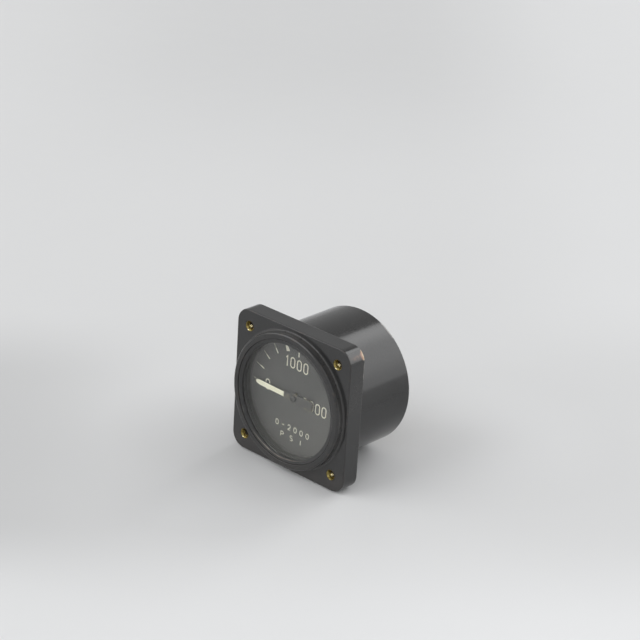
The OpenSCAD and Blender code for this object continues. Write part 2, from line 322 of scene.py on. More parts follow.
def moulding():
    """Satin black moulding: mottled, finely stippled, a little dusty, brown where its edges are rubbed."""
    k = Nodes("case_moulding")
    cloud = k.noise(70.0, 5.0, 0.6)
    fine = k.noise(900.0, 3.0, 0.5)
    grit = k.noise(4200.0, 2.0, 0.5)
    base = k.mix(k.span(cloud, 0.3, 0.7, 0, 1), rgb(0.0190, 0.0190, 0.0193), rgb(0.0252, 0.0248, 0.0245))
    base = k.mix(k.math("MULTIPLY", k.span(fine, 0.45, 0.75, 0, 1), 0.16), base, rgb(0.038, 0.036, 0.034))
    # painted light: a pale colour that paints a sheen over the upper right corner and lifts the shade along the foot of
    # the rim; these places are also made rougher
    painted_light = k.math("MULTIPLY", k.attribute("painted_light"), k.span(k.noise(150.0, 4.0), 0.3, 0.6, 0.75, 1.0))
    base = k.mix(painted_light, base, rgb(0.105, 0.102, 0.100))
    # painted highlights: thin pale lines along two rear edges
    painted_highlight = k.math("MULTIPLY", k.attribute("painted_highlight"), k.span(k.noise(480.0, 4.0, 0.6), 0.40, 0.55, 0.35, 1.0))
    base = k.mix(painted_highlight, base, rgb(0.46, 0.44, 0.41))
    # rubbed edges
    worn = k.math("MULTIPLY", k.attribute("wear"), k.span(k.noise(420.0, 5.0, 0.65), 0.50, 0.66, 0, 1, True))
    base = k.mix(k.math("MULTIPLY", worn, 0.45), base, rgb(0.085, 0.062, 0.045))
    chip = k.math("MULTIPLY", k.attribute("chip"), k.span(k.noise(700.0, 4.0, 0.6), 0.36, 0.50, 0, 1, True))
    filler = k.mix(k.span(k.noise(1100.0, 3.0), 0.42, 0.60, 0, 0.75), rgb(0.70, 0.58, 0.40), rgb(0.48, 0.30, 0.17))
    filler = k.mix(k.span(k.axis(1), 0.0070, 0.0076, 0.85, 0), filler, rgb(0.33, 0.17, 0.13))  # darker where it runs out
    base = k.mix(chip, base, filler)
    # scuffs, long and thin, in two directions
    s1 = k.span(k.noise(1.0, 3.0, 0.6, k.stretch((2600, 90, 60), (0.0, 0.5, 0.35))), 0.69, 0.73, 0, 1)
    s2 = k.span(k.noise(1.0, 3.0, 0.6, k.stretch((60, 110, 2300), (0.2, -0.7, 0.1))), 0.70, 0.74, 0, 1)
    scuff = k.math("MULTIPLY", k.math("MAXIMUM", s1, s2), k.span(k.noise(55.0, 2.0), 0.5, 0.62, 0, 1))
    base = k.mix(k.math("MULTIPLY", scuff, 0.22), base, rgb(0.14, 0.135, 0.13))
    # dust on what faces up
    up = k.t.nodes.new("ShaderNodeNewGeometry")
    nz = k.t.nodes.new("ShaderNodeSeparateXYZ")
    k.put(nz.inputs[0], up.outputs["Normal"])
    dust = k.math("MULTIPLY", k.span(nz.outputs[2], 0.25, 0.95, 0, 1, True), k.span(k.noise(1500.0, 6.0, 0.7), 0.46, 0.7, 0.0, 1.0))
    base = k.mix(k.math("MULTIPLY", dust, 0.035), base, rgb(0.33, 0.31, 0.28))
    rough = k.span(k.math("ADD", k.math("MULTIPLY", cloud, 0.6), k.math("MULTIPLY", fine, 0.4)), 0.35, 0.65, 0.12, 0.19)
    rough = k.math("ADD", rough, k.math("MULTIPLY", k.math("MAXIMUM", worn, scuff), 0.12), True)
    rough = k.math("ADD", rough, k.math("MULTIPLY", dust, 0.05), True)
    rough = k.math("ADD", rough, k.math("MULTIPLY", painted_light, 0.34), True)
    height = k.math("ADD", k.math("MULTIPLY", grit, 0.2), k.math("MULTIPLY", k.noise(260.0, 3.0), 1.0))
    height = k.math("SUBTRACT", height, k.math("MULTIPLY", scuff, 0.4))
    # brownish dust along the bottom of the flange's front
    low = k.math("MULTIPLY", k.span(k.axis(2), -0.0265, -0.0185, 1, 0, True), k.span(k.axis(1), 0.0004, 0.0011, 1, 0, True))
    low = k.math("MULTIPLY", low, k.span(k.noise(210.0, 4.0), 0.3, 0.65, 0.55, 1.0))
    base = k.mix(k.math("MULTIPLY", low, 0.8), base, rgb(0.0345, 0.0318, 0.0297))
    # painted shade: a darker colour on the body's lower half, which also takes some of its gloss
    film_and_painted_shade = k.math("MULTIPLY", k.span(k.axis(2), 0.002, 0.0095, 1, 0, True), k.span(k.axis(1), 0.0082, 0.0092, 0, 1, True))
    film_and_painted_shade = k.math("MULTIPLY", film_and_painted_shade, k.span(k.axis(1), 0.014, 0.034, 0.75, 1.25))
    base = k.mix(k.math("MULTIPLY", film_and_painted_shade, 0.28, True), base, rgb(0.012, 0.012, 0.012))
    return k.finish(k.principled(Base_Color=base, Roughness=rough, Normal=k.bump(height, 0.000016, 0.4), IOR=1.5,
                                 Specular_IOR_Level=k.math("SUBTRACT", 0.5, k.math("MULTIPLY", film_and_painted_shade, 0.085))))


def painted_black(name, base_a, base_b, rough_lo, rough_hi, worn_colour, worn_amount, metal_below=False):
    k = Nodes(name)
    cloud = k.noise(160.0, 5.0, 0.6)
    fine = k.noise(2200.0, 3.0, 0.55)
    base = k.mix(k.span(cloud, 0.3, 0.7, 0, 1), base_a, base_b)
    worn = k.math("MULTIPLY", k.attribute("wear"), k.span(k.noise(300.0, 6.0, 0.7), 0.50, 0.62, 0, 1, True))
    worn = k.math("MULTIPLY", worn, worn_amount)
    base = k.mix(worn, base, worn_colour)
    rough = k.span(fine, 0.35, 0.65, rough_lo, rough_hi)
    height = k.math("SUBTRACT", fine, k.math("MULTIPLY", worn, 0.7))
    extra = {"Metallic": worn} if metal_below else {}
    return k.finish(k.principled(Base_Color=base, Roughness=rough, Normal=k.bump(height, 0.000025, 0.5), **extra))


def ring_paint():
    """Black paint of the snap ring, with a painted highlight, a thin bright line, and brown rubbing along its inner
    slope.
    """
    k = Nodes("black_paint")
    cloud = k.noise(160.0, 5.0, 0.6)
    fine = k.noise(2200.0, 3.0, 0.55)
    base = k.mix(k.span(cloud, 0.3, 0.7, 0, 1), rgb(0.013, 0.0135, 0.014), rgb(0.023, 0.0235, 0.024))
    brown = k.math("MULTIPLY", k.attribute("wear"), k.span(k.noise(300.0, 6.0, 0.7), 0.38, 0.58, 0.2, 1, True))
    base = k.mix(k.math("MULTIPLY", brown, 0.6), base, rgb(0.20, 0.15, 0.11))
    # painted highlight: the thin bright line
    bright = k.math("MULTIPLY", k.attribute("painted_glint"), k.span(k.noise(560.0, 5.0, 0.7), 0.40, 0.56, 0.12, 1, True))
    base = k.mix(bright, base, rgb(0.72, 0.65, 0.54))
    rough = k.span(fine, 0.35, 0.65, 0.26, 0.38)
    height = k.math("SUBTRACT", fine, k.math("MULTIPLY", k.math("MAXIMUM", brown, bright), 0.7))
    return k.finish(k.principled(Base_Color=base, Metallic=k.math("MULTIPLY", bright, 0.2), Roughness=rough, Normal=k.bump(height, 0.000025, 0.5)))


def spacer_paint():
    """Matt black of the ring round the dial, with painted light: lighter towards the dial, out of the shade near the
    glass.
    """
    k = Nodes("black_paint_inner")
    fine = k.noise(2200.0, 3.0, 0.55)
    base = k.mix(k.span(k.noise(160.0, 5.0, 0.6), 0.3, 0.7, 0, 1), rgb(0.008, 0.008, 0.008), rgb(0.013, 0.013, 0.012))
    # painted light: the colour lightens towards the dial, a painted gradient out of shade
    base = k.mix(k.span(k.axis(1), 0.0008, 0.0031, 0, 1, True), base, rgb(0.046, 0.046, 0.043))
    return k.finish(k.principled(Base_Color=base, Roughness=k.span(fine, 0.35, 0.65, 0.5, 0.64), Normal=k.bump(fine, 0.000025, 0.5)))


def dial_face():
    """Matt black dial paint with a faint orange-peel and a few light specks."""
    k = Nodes("dial_black")
    cloud = k.noise(120.0, 5.0, 0.6)
    base = k.mix(k.span(cloud, 0.3, 0.7, 0, 1), rgb(0.0396, 0.0393, 0.0383), rgb(0.0522, 0.0511, 0.0493))
    speck = k.span(k.voronoi(420.0), 0.05, 0.09, 1, 0)
    speck = k.math("MULTIPLY", speck, k.span(k.noise(160.0, 2.0), 0.56, 0.62, 0, 1))
    base = k.mix(k.math("MULTIPLY", speck, 0.5), base, rgb(0.22, 0.21, 0.18))
    rough = k.span(k.noise(700.0, 4.0), 0.35, 0.65, 0.50, 0.64)
    return k.finish(k.principled(Base_Color=base, Roughness=rough, Normal=k.bump(k.noise(2600.0, 3.0), 0.00002, 0.5)))


def luminous(name, light, dark, spots):
    """Old luminous paint: cream, granular, darker where it has aged."""
    k = Nodes(name)
    age = k.noise(210.0, 5.0, 0.65)
    grain = k.noise(5200.0, 4.0, 0.6)
    base = k.mix(k.span(age, 0.38, 0.68, 0, 1), light, dark)
    base = k.mix(k.math("MULTIPLY", k.span(grain, 0.42, 0.7, 0, 1), spots), base, rgb(0.33, 0.30, 0.20))
    height = k.math("ADD", grain, k.math("MULTIPLY", age, 2.0))
    return k.finish(k.principled(Base_Color=base, Roughness=k.span(grain, 0.3, 0.7, 0.62, 0.82), Normal=k.bump(height, 0.00004, 0.6)))


def insert_brass():
    """Brass of the fixing inserts: olive and brown with tarnish, black paint over its rim, painted shade deep in the
    bore, and painted glints of bright clean brass on the rim at the lower left and on a patch of thread inside.
    """
    k = Nodes("insert_brass")
    cloud = k.noise(900.0, 5.0, 0.65)
    fine = k.noise(3200.0, 4.0, 0.6)
    base = k.mix(k.span(cloud, 0.35, 0.62, 0, 1), rgb(0.34, 0.275, 0.095), rgb(0.165, 0.135, 0.042))
    base = k.mix(k.span(k.noise(1300.0, 4.0, 0.6), 0.52, 0.64, 0, 0.85, True), base, rgb(0.13, 0.052, 0.015))
    # painted glints: bright clean brass
    painted_glint = k.span(k.math("ADD", k.attribute("painted_glint"), k.math("MULTIPLY", k.math("SUBTRACT", k.noise(1500.0, 3.0), 0.5), 0.9)), 0.45, 0.65, 0, 1, True)
    base = k.mix(painted_glint, base, rgb(0.95, 0.83, 0.52))
    # black paint over the rim, and painted shade deep in the bore
    paint = k.span(k.math("ADD", k.attribute("stain_and_painted_shade"), k.math("MULTIPLY", k.math("SUBTRACT", fine, 0.5), 1.1)), 0.42, 0.60, 0, 1, True)
    paint = k.math("MULTIPLY", paint, k.math("SUBTRACT", 1.0, painted_glint, True))
    base = k.mix(paint, base, rgb(0.035, 0.028, 0.020))
    rough = k.math("ADD", k.span(fine, 0.3, 0.7, 0.20, 0.34), k.math("MULTIPLY", paint, 0.2), True)
    rough = k.math("SUBTRACT", rough, k.math("MULTIPLY", painted_glint, 0.08), True)
    return k.finish(
        k.principled(
            Base_Color=base,
            Metallic=k.math("SUBTRACT", 1.0, k.math("MULTIPLY", paint, 0.7), True),
            Roughness=rough,
            Normal=k.bump(k.math("ADD", fine, cloud), 0.00003, 0.5),
        )
    )


def brass(name, bright, dull_and_painted_shade, stain_and_painted_shade, rough_lo, rough_hi, brushed=0.0, stain_amount=0.6):
    """Machined brass, dulled, with darker stains and tool marks round the case axis."""
    k = Nodes(name)
    cloud = k.noise(230.0, 6.0, 0.65)
    fine = k.noise(1900.0, 4.0, 0.6)
    base = k.mix(k.span(cloud, 0.35, 0.65, 0, 1), bright, dull_and_painted_shade)
    spot = k.span(k.noise(520.0, 5.0, 0.7), 0.56, 0.70, 0, 1, True)
    base = k.mix(k.math("MULTIPLY", spot, stain_amount), base, stain_and_painted_shade)
    rough = k.math("ADD", k.span(fine, 0.3, 0.7, rough_lo, rough_hi), k.math("MULTIPLY", spot, 0.18), True)
    height = fine
    if brushed:
        lines = k.noise(1.0, 2.0, 0.5, k.stretch((260, 9000, 260)))
        height = k.math("ADD", k.math("MULTIPLY", fine, 0.4), k.math("MULTIPLY", lines, brushed))
    return k.finish(k.principled(Base_Color=base, Metallic=1.0, Roughness=rough, Normal=k.bump(height, 0.00002, 0.45)))


def steel(name, base_a, base_b, rough_lo, rough_hi, black_to=None):
    """Turned steel with a little rust. black_to paints it black in front of that height on the case axis, in metres."""
    k = Nodes(name)
    cloud = k.noise(380.0, 5.0, 0.6)
    lines = k.noise(1.0, 2.0, 0.5, k.stretch((7000, 500, 500)))
    rust = k.span(k.noise(900.0, 6.0, 0.7), 0.63, 0.74, 0, 1, True)
    base = k.mix(k.span(cloud, 0.3, 0.7, 0, 1), base_a, base_b)
    base = k.mix(k.math("MULTIPLY", rust, 0.55), base, rgb(0.16, 0.085, 0.045))
    rough = k.math("ADD", k.span(cloud, 0.3, 0.7, rough_lo, rough_hi), k.math("MULTIPLY", rust, 0.25), True)
    cover = k.math("MULTIPLY", rust, 0.5)
    if black_to is not None:
        paint = k.span(k.axis(1), black_to - 0.0001, black_to, 1, 0)
        base = k.mix(paint, base, rgb(0.034, 0.033, 0.032))
        rough = k.math("ADD", rough, k.math("MULTIPLY", paint, 0.3), True)
        cover = k.math("MAXIMUM", cover, paint)
    return k.finish(
        k.principled(
            Base_Color=base,
            Metallic=k.math("SUBTRACT", 1.0, cover, True),
            Roughness=rough,
            Normal=k.bump(lines, 0.00001, 0.35),
        )
    )


def rubber():
    k = Nodes("rubber")
    cloud = k.noise(300.0, 4.0, 0.6)
    base = k.mix(k.span(cloud, 0.3, 0.7, 0, 1), rgb(0.008, 0.008, 0.008), rgb(0.016, 0.016, 0.015))
    return k.finish(k.principled(Base_Color=base, Roughness=k.span(cloud, 0.3, 0.7, 0.62, 0.8), Normal=k.bump(k.noise(2400.0, 3.0), 0.00004, 0.5)))


def glass():
    """Flat cover glass: clear, mirroring at a slant, with a thin veil of dust and a few specks, and less of the veil
    near the left edge as painted shade.
    """
    k = Nodes("clear_glass")
    film_and_painted_shade = k.noise(95.0, 5.0, 0.65)
    smear = k.noise(1.0, 4.0, 0.6, k.stretch((260, 30, 90), (0, 0.5, 0)))
    dust = k.span(k.voronoi(900.0), 0.03, 0.06, 1, 0)
    dust = k.math("MULTIPLY", dust, k.span(k.noise(240.0, 2.0), 0.54, 0.62, 0, 1))
    clear = k.t.nodes.new("ShaderNodeBsdfTransparent")
    clear.inputs[0].default_value = rgb(0.985, 0.990, 0.980)
    gloss = k.t.nodes.new("ShaderNodeBsdfGlossy")
    gloss.inputs["Color"].default_value = rgb(1, 1, 1)
    gloss.inputs["Roughness"].default_value = 0.02
    veil = k.t.nodes.new("ShaderNodeBsdfDiffuse")
    veil.inputs["Color"].default_value = rgb(0.62, 0.61, 0.56)
    slant = k.t.nodes.new("ShaderNodeLayerWeight")
    slant.inputs["Blend"].default_value = 0.5
    mirror = k.math("ADD", k.math("MULTIPLY", k.math("POWER", slant.outputs["Facing"], 5.0), 0.96), 0.042)
    body = k.t.nodes.new("ShaderNodeMixShader")
    k.put(body.inputs[0], mirror)
    k.put(body.inputs[1], clear.outputs[0])
    k.put(body.inputs[2], gloss.outputs[0])
    top = k.t.nodes.new("ShaderNodeMixShader")
    slope = k.math("SUBTRACT", k.math("MULTIPLY", k.axis(0), 0.6), k.axis(2))  # more veil towards the lower right
    share = k.math("ADD", k.span(k.math("ADD", film_and_painted_shade, smear), 0.8, 1.25, 0.011, 0.017), k.span(slope, 0.0, 0.022, 0.0, 0.034))
    # painted shade: much less veil near the left edge, for the rim's shade on the glass
    share = k.math("MULTIPLY", share, k.span(k.axis(0), -0.0240, -0.0185, 0.15, 1.0, True))
    share = k.math("ADD", share, k.math("MULTIPLY", dust, 0.06))
    k.put(top.inputs[0], share)
    k.put(top.inputs[1], body.outputs[0])
    k.put(top.inputs[2], veil.outputs[0])
    return k.finish(top.outputs[0])


M = {
    "case": moulding(),
    "ring": ring_paint(),
    "spacer": spacer_paint(),
    "dial": dial_face(),
    "marks": luminous("luminous_print", rgb(0.80, 0.77, 0.66), rgb(0.66, 0.62, 0.50), 0.35),
    "bar": luminous("luminous_bar", rgb(0.955, 0.925, 0.765), rgb(0.91, 0.875, 0.67), 0.10),
    "hub": painted_black("hub_black", rgb(0.026, 0.026, 0.026), rgb(0.038, 0.037, 0.036), 0.50, 0.64, rgb(0.45, 0.36, 0.22), 0.5, True),
    "glass": glass(),
    "rubber": rubber(),
    "insert": insert_brass(),
    "movement": brass("movement_brass", rgb(0.80, 0.60, 0.27), rgb(0.70, 0.50, 0.21), rgb(0.36, 0.24, 0.10), 0.22, 0.40, 0.4, 0.35),
    "fitting": brass("fitting_brass", rgb(0.74, 0.56, 0.27), rgb(0.58, 0.41, 0.18), rgb(0.22, 0.15, 0.08), 0.26, 0.46, 1.0, 0.6),
    "tube": brass("tube_bronze", rgb(0.78, 0.50, 0.24), rgb(0.66, 0.40, 0.18), rgb(0.30, 0.17, 0.08), 0.20, 0.36, 0.3, 0.35),
    "steel": steel("steel", rgb(0.56, 0.55, 0.53), rgb(0.42, 0.41, 0.39), 0.26, 0.42),
    "shaft": steel("shaft_steel", rgb(0.56, 0.55, 0.53), rgb(0.42, 0.41, 0.39), 0.26, 0.42, 0.0030),
    "spring": steel("blued_spring", rgb(0.10, 0.15, 0.34), rgb(0.16, 0.20, 0.38), 0.20, 0.30),
}


def dress(ob, key, body, slot, *nodes):
    ob.data.materials.clear()
    ob.data.materials.append(M[key])
    if body:
        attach(ob, body)
    if nodes:
        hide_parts(*nodes)
    return ob


def wear_and_painted_light_mask(ob, rule, name="wear"):
    """A value from 0 to 1 at each vertex that says how rubbed it is, or, for the other masks, how much paint, chip,
    painted light or painted shade it takes. rule takes the point in millimetres.
    """
    a = ob.data.attributes.get(name) or ob.data.attributes.new(name, "FLOAT", "POINT")
    a.data.foreach_set("value", [float(max(0.0, min(1.0, rule(v.co.x / MM, v.co.y / MM, v.co.z / MM)))) for v in ob.data.vertices])


# ------------------------------------------------------------------ case
FLANGE, FLANGE_T, CORNER = 30.25, 8.0, 6.0
RIM, RIM_H, BODY, REAR, SEAT, CAVITY, RIB = 28.25, 3.2, 28.05, 39.1, 25.65, 25.0, 22.8
INSERT_AT = 23.57
REAR_SCREWS = [(11.6 * math.cos(D(a)), 11.6 * math.sin(D(a))) for a in (90, 210, 330)]


def case_angles():
    """Angles round the case: closer together at the flange's corners, and in pairs where a rib's side stands."""
    corner = [-6.3, -5.65, -5.55] + [-5.0 + 0.5 * i for i in range(21)] + [5.55, 5.65, 6.3]
    side = [7.5 + 1.5 * i for i in range(51)]
    return [D(45.0 + 90.0 * q + a) for q in range(4) for a in corner + side]


def rounded_square(h, c, y, angles):
    out = []
    for a in angles:
        d = Vector((math.cos(a), math.sin(a)))
        big = max(abs(d.x), abs(d.y))
        t = h / big
        p = d * t
        if min(abs(p.x), abs(p.y)) > h - c:
            o = Vector((math.copysign(h - c, d.x), math.copysign(h - c, d.y)))
            b = d.dot(o)
            t = b + math.sqrt(max(0.0, b * b - o.length_squared + c * c))
            p = d * t
        out.append((p.x, y, p.y))
    return out


def cavity_ring(y, angles):
    """The inside of the case: round, with four flat-topped ribs 5 mm wide."""
    out = []
    for a in angles:
        s = ((math.degrees(a) - 45 + 45) % 90) - 45
        if abs(abs(s) - 5.65) < 0.01:
            b = a - D(s) + math.copysign(math.asin(2.5 / CAVITY), s)
            r = CAVITY
        elif abs(abs(s) - 5.55) < 0.01:
            b = a - D(s) + math.copysign(math.atan(2.5 / RIB), s)
            r = RIB / math.cos(math.atan(2.5 / RIB))
        elif abs(s) < 5.55:
            b, r = a, RIB / math.cos(D(s))
        else:
            b, r = a, CAVITY
        out.append((r * math.cos(b), y, r * math.sin(b)))
    return out


A = case_angles()
rings = [cavity_ring(4.0, A), circle(SEAT, 4.0, A), circle(SEAT, 2.0, A), circle(SEAT, -2.15, A)]
rings += [circle(r, y, A) for r, y in [(26.3, -2.15), (26.3, -2.8), (SEAT, -2.8)]]
rings += [circle(r, y, A) for r, y in arc2(SEAT + 0.2, -RIM_H + 0.2, 0.2, 180, 270, 4)]
rings += [circle(26.1, -RIM_H, A), circle(27.05, -RIM_H, A)]
rings += [circle(r, y, A) for r, y in arc2(RIM - 1.0, -RIM_H + 1.0, 1.0, -90, 0, 9)]
rings += [circle(RIM, -0.75, A)]
rings += [circle(r, y, A) for r, y in arc2(RIM + 0.4, -0.4, 0.4, 180, 90, 4)]
rings += [circle(RIM + 0.5, 0, A), circle(RIM + 1.2, 0, A)]
rings += [rounded_square(FLANGE - 0.55, CORNER - 0.55, 0, A)]
for t in range(6):
    q = D(18 * t)
    rings.append(rounded_square(FLANGE - 0.4 + 0.4 * math.sin(q), CORNER - 0.4 + 0.4 * math.sin(q), 0.4 - 0.4 * math.cos(q), A))
rings += [rounded_square(FLANGE, CORNER, y, A) for y in (0.55, FLANGE_T - 1.6, FLANGE_T - 1.2, FLANGE_T - 0.8, FLANGE_T - 0.5)]
for t in range(5):
    q = D(22.5 * t)
    rings.append(
        rounded_square(FLANGE - 0.35 + 0.35 * math.cos(q), CORNER - 0.35 + 0.35 * math.cos(q), FLANGE_T - 0.35 + 0.35 * math.sin(q), A)
    )
rings += [rounded_square(FLANGE - d, CORNER - d, FLANGE_T, A) for d in (0.55, 0.95)] + [circle(BODY + 0.75, FLANGE_T, A)]
rings += [circle(r, y, A) for r, y in arc2(BODY + 0.6, FLANGE_T + 0.6, 0.6, -90, -180, 5)]
rings += [circle(BODY, FLANGE_T + 0.8, A)] + [circle(BODY, FLANGE_T + 0.8 + (29.5 / 6) * i, A) for i in range(1, 6)]
rings += [circle(BODY, REAR - 1.1, A), circle(BODY, REAR - 0.85, A)]
rings += [circle(r, y, A) for r, y in arc2(BODY - 0.7, REAR - 0.7, 0.7, 0, 90, 6)]
rings += [circle(BODY - 0.9, REAR, A), circle(8.1, REAR, A)]
rings += [circle(r, y, A) for r, y in arc2(7.85, REAR - 0.25, 0.25, 90, 180, 3)]
rings += [circle(7.6, 35.7, A), cavity_ring(35.7, A)]
case = rings_object("case_shell", rings)
holes = [rod("hole", x, z, 2.3, -1.0, 9.0, 64) for x in (-INSERT_AT, INSERT_AT) for z in (-INSERT_AT, INSERT_AT)]
holes += [rod("hole", x, z, 1.65, 34.5, 40.5, 48) for x, z in REAR_SCREWS]
boolean(case, holes, "DIFFERENCE")
boolean(case, [box_object("key", (-0.7, 3.3, -25.95), (0.7, 4.1, -24.85))], "UNION")


def case_wear(x, y, z):
    r = math.hypot(x, z)
    if y < 0.01 and r < RIM + 0.2 and y < -2.3:
        return 0.6 if r > 27.4 else (0.5 if r < 25.9 and y < -2.9 else 0.15)
    h = max(abs(x), abs(z))
    cx, cz = abs(x) - (FLANGE - CORNER), abs(z) - (FLANGE - CORNER)
    out = math.hypot(cx, cz) - CORNER if cx > 0 and cz > 0 else h - FLANGE
    if out > -0.42 and y < 0.45:
        return 0.55
    if out > -0.38 and 7.6 < y < 8.05:
        return 0.9
    if y > REAR - 0.75 and r > BODY - 0.8:
        return 0.7
    return 0.0


def case_chip(x, y, z):
    """A chip along the rear edge of the flange's upper right corner, where the brown of the moulding shows."""
    cx, cz = x - (FLANGE - CORNER), z - (FLANGE - CORNER)
    r, a = math.hypot(cx, cz), math.degrees(math.atan2(cz, cx))
    if cx < -1 or cz < -1 or r < CORNER - 0.6 or not 11 < a < 53:
        return 0.0
    deep = 1.35 * max(0.0, 1.0 - ((a - 32) / 21) ** 2)
    return max(0.0, min(1.0, 1.0 + (y - (7.9 - deep)) / 0.35)) if y < 8.01 else 0.0


def case_painted_light(x, y, z):
    """Painted light along the foot of the rim, and a painted sheen over the upper right corner."""
    r = math.hypot(x, z)
    if RIM + 0.05 < r < RIM + 0.6 and abs(y) < 0.01:
        return 0.42 + 0.38 * max(0.0, 1.0 - abs(math.degrees(math.atan2(z, x))) / 50.0)
    if r < RIM + 0.6 and -2.3 < y < 0.01 and r > RIM - 0.01:
        return 0.42
    cx, cz = x - (FLANGE - CORNER), z - (FLANGE - CORNER)
    if cx > -1 and cz > -1 and math.hypot(cx, cz) > CORNER - 0.45 and 0.1 < y < FLANGE_T:
        a = math.degrees(math.atan2(cz, cx))
        return max(0.0, 1.0 - (max(0.0, 23 - a) / 10 if a < 28 else max(0.0, a - 38) / 24))
    return 0.0


def case_painted_highlight(x, y, z):
    """Two painted highlights, thin lines: on the flange's rear edge below its upper right corner, and on the rear edge
    of the body.
    """
    if x > FLANGE - 0.2 and 7.6 < y < 7.98 and 18.0 < z < 24.3:
        return 0.55
    if REAR - 0.9 < y < REAR - 0.3 and 51 < math.degrees(math.atan2(z, x)) < 66:
        return 0.55
    return 0.0


wear_and_painted_light_mask(case, case_wear)
wear_and_painted_light_mask(case, case_painted_light, "painted_light")
wear_and_painted_light_mask(case, case_painted_highlight, "painted_highlight")
wear_and_painted_light_mask(case, case_chip, "chip")
shade(case, 30)
weighted(case)
dress(case, "case", "case", "case_moulding", "case")


# ------------------------------------------------------------------ fixing inserts, with a real thread in each
def threaded(r_minor, depth, pitch, y0, y1, angles, cx, cz, rows_per_pitch=6, lead=0.5):
    """Rings of an internal or external helical thread along Y. depth is positive outwards."""
    n = int((y1 - y0) / pitch * rows_per_pitch)
    out = []
    for i in range(n + 1):
        y = y0 + (y1 - y0) * i / n
        fade = min(1.0, (y - y0) / (pitch * lead), (y1 - y) / (pitch * lead))
        ring = []
        for a in angles:
            f = (y / pitch - a / (2 * math.pi)) % 1.0
            tri = 1 - abs(2 * f - 1)
            tri = min(1.0, max(0.0, (tri - 0.12) / 0.76))
            r = r_minor + depth * tri * max(0.0, fade)
            ring.append((cx + r * math.cos(a), y, cz + r * math.sin(a)))
        out.append(ring)
    return out


def insert(x, z):
    n = even_angles(48)
    outline = [(2.12, 0.0), (2.24, 0.03), (2.3, 0.12), (2.3, 2.6), (1.95, 2.62), (1.95, 5.38), (2.3, 5.4), (2.3, 7.85), (2.2, 7.97), (2.1, 8.0)]
    out = [circle(r, y, n, x, z) for r, y in outline]
    out += [circle(r, y, n, x, z) for r, y in [(1.85, 8.0), (1.75, 7.95), (1.45, 7.6)]]
    bore = threaded(1.45, -0.22, 0.6, 0.75, 7.5, n, x, z)
    out += bore[::-1]
    out += [circle(r, y, n, x, z) for r, y in [(1.45, 0.7), (1.5, 0.62), (1.95, 0.1), (2.02, 0.02), (2.07, 0.0)]]
    return rings_object("insert", out, True, False, 40)


ins = join_meshes("panel_inserts", [insert(x, z) for x in (-INSERT_AT, INSERT_AT) for z in (-INSERT_AT, INSERT_AT)], 40)


def insert_paint_and_painted_shade(x, y, z):
    r = math.hypot(abs(x) - INSERT_AT, abs(z) - INSERT_AT)
    if y < 0.2:
        return 1.0 if r > 2.1 else (0.25 if r > 1.9 else 0.0)
    # painted shade: darker deep inside the bore
    return 0.75 if r < 1.6 and y > 1.6 else 0.1


def insert_painted_glint(x, y, z):
    """Painted glints, bright spots: on the rim at the lower left, and a patch of thread inside."""
    r, a = math.hypot(abs(x) - INSERT_AT, abs(z) - INSERT_AT), math.degrees(math.atan2(z - math.copysign(INSERT_AT, z), x - math.copysign(INSERT_AT, x))) % 360
    rim = (x < 0 or z > 0) and y < 0.3 and r > 1.5
    if rim:
        return max(0.0, 1.0 - abs(a - 243) / 24)
    if r < 1.6 and not (x < 0 and z < 0):
        return max(0.0, 1.15 - abs(a - 226) / 44) * max(0.0, 1.15 - abs(y - 2.0) / 0.9)
    return 0.0


wear_and_painted_light_mask(ins, insert_paint_and_painted_shade, "stain_and_painted_shade")
wear_and_painted_light_mask(ins, insert_painted_glint, "painted_glint")
dress(ins, "insert", "case", "insert_brass", "mounting_inserts")


# ------------------------------------------------------------------ front stack
ring = turned(
    "snap_ring",
    soften(
        [(23.83, -2.17), (23.83, -2.45, 0.06)]
        + [(23.95 + 0.0625 * i, -2.45 - 0.53 * (0.12 + 0.0625 * i) / 1.65) for i in range(23)]
        + [(25.48, -2.98, 0.06), (25.5, -2.74), (26.15, -2.72, 0.05), (26.15, -2.17, 0.05)],
        3,
    ),
    256,
)


def between(v, points):
    """Straight lines between (position, value) points."""
    for (a, p), (b, q) in zip(points, points[1:]):
        if a <= v <= b:
            return p + (q - p) * (v - a) / (b - a)
    return 0.0


def ring_line(x, y, z):
    """A thin line, rubbed brown and with a painted highlight on it, that starts near the crest at the lower left and
    runs inwards along the bottom.
    """
    r, a = math.hypot(x, z), math.degrees(math.atan2(z, x)) % 360
    if y > -2.4 or not 190 < a < 305:
        return 0.0, 0.0
    at = between(a, [(190, 25.1), (222, 24.95), (236, 24.7), (248, 24.5), (256, 24.6), (266, 24.55), (276, 24.35), (305, 24.3)])
    near = min(1.0, max(0.0, 1.4 - abs(r - at) / 0.12))
    return near, a


# painted highlight along the thin line
def ring_painted_highlight(x, y, z):
    near, a = ring_line(x, y, z)
    run = [(190, 0.0), (202, 0.0), (207, 0.10), (213, 0.0), (224, 0.0), (230, 0.10), (236, 0.20), (243, 0.27), (248, 0.42), (253, 0.38)]
    run += [(258, 0.36), (266, 0.25), (272, 0.38), (277, 0.20), (283, 0.10), (296, 0.05), (305, 0.0)]
    return near * between(a, run)


def ring_wear(x, y, z):
    near, a = ring_line(x, y, z)
    return max(near * between(a, [(224, 0.0), (236, 0.9), (270, 0.9), (284, 0.5), (304, 0.0)]), 0.12 if y < -2.9 else 0.03)


wear_and_painted_light_mask(ring, ring_painted_highlight, "painted_glint")
wear_and_painted_light_mask(ring, ring_wear)
dress(ring, "ring", "case", "black_paint", "retaining_ring")

